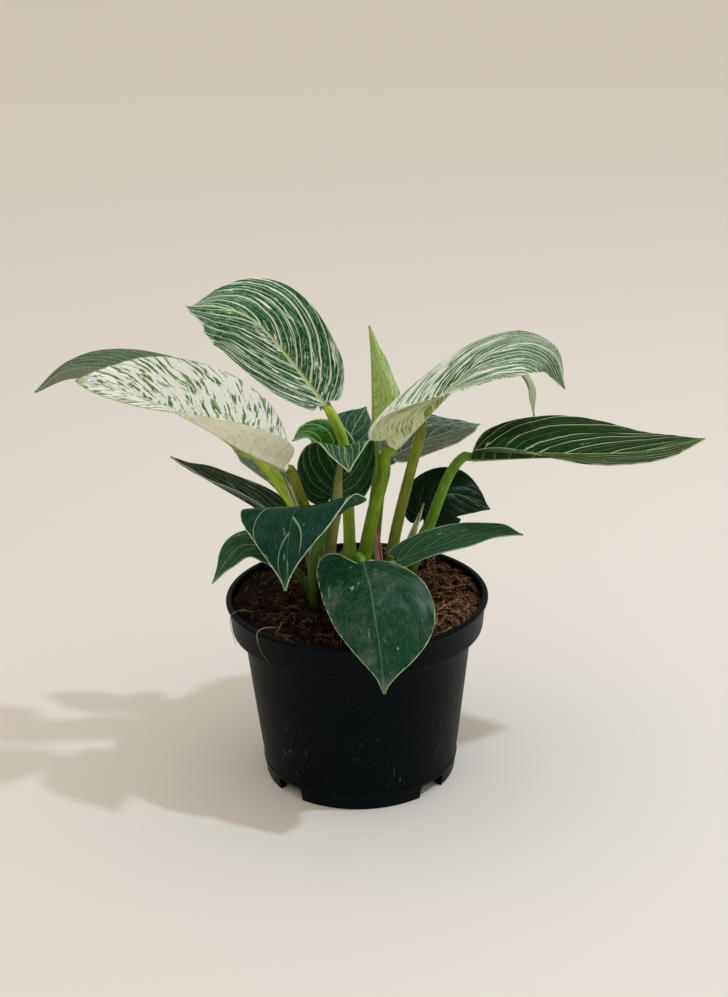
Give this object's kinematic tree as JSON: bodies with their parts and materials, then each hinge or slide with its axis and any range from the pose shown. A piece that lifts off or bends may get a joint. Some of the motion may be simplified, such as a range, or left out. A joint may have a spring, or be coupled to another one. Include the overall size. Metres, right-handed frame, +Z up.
{
  "type": "potted house plant",
  "caption": "Variegated philodendron with pinstriped, cream-splashed leaves on upright stalks, growing from soil in a round black plastic nursery pot.",
  "frame": {"origin": "middle of the pot's underside, on the surface it stands on", "axes": "+Z up, -Y toward the front where the heart-shaped leaf hangs over the rim, +X to the right as seen from the front"},
  "size_m": [0.2943, 0.1324, 0.2356],
  "materials": {
    "pot": "satin, slightly scuffed, soft mould marks",
    "soil": "dark peat and coir with tan fibres, matt and crumbly",
    "stem": "smooth green, waxy",
    "blade_dark": "waxy dark green with thin pale side veins and a pale margin",
    "blade_striped": "waxy green with many white pinstripes along the side veins",
    "blade_cream": "cream with green streaks along the side veins, waxy",
    "blade_grey_green": "grey green, satin",
    "blade_young": "bright green, satin",
    "petiole_green": "smooth bright green, waxy",
    "petiole_olive": "smooth olive green, waxy",
    "petiole_lime": "smooth lime green, waxy",
    "sheath_dried": "papery, dried, salmon to brown",
    "sheath_pale": "pale green and white, thin and satin"
  },
  "bodies": {
    "root": {"pot": "pot", "soil": "soil", "stem": "stem", "leaf_upper_left": "blade_striped", "petiole_upper_left": "petiole_green", "leaf_cream_left": "blade_cream", "petiole_cream_left": "petiole_olive", "leaf_far_left": "blade_grey_green", "petiole_far_left": "petiole_lime", "leaf_newest": "blade_cream", "petiole_newest": "petiole_green", "leaf_arched_right": "blade_striped", "petiole_arched_right": "petiole_green", "leaf_drooping_right": "blade_striped", "petiole_drooping_right": "petiole_olive", "leaf_right": "blade_dark", "petiole_right": "petiole_green", "leaf_cupped_centre": "blade_dark", "petiole_cupped_centre": "petiole_olive", "leaf_front_left": "blade_dark", "petiole_front_left": "petiole_green", "leaf_front": "blade_dark", "petiole_front": "petiole_green", "leaf_small_centre_left": "blade_young", "petiole_small_centre_left": "petiole_green", "leaf_centre_back": "blade_grey_green", "petiole_centre_back": "petiole_green", "leaf_back_right": "blade_grey_green", "petiole_back_right": "petiole_green", "leaf_low_left": "blade_dark", "petiole_low_left": "petiole_green", "leaf_thin_left": "blade_dark", "petiole_thin_left": "petiole_green", "leaf_back_left": "blade_grey_green", "petiole_back_left": "petiole_green", "leaf_round_back_right": "blade_dark", "petiole_round_back_right": "petiole_green", "leaf_low_right": "blade_dark", "petiole_low_right": "petiole_green", "sheath_dried": "sheath_dried", "sheath_pale": "sheath_pale", "sheath_streaked": "sheath_pale", "sheath_curled": "blade_dark"}
  },
  "joints": []
}
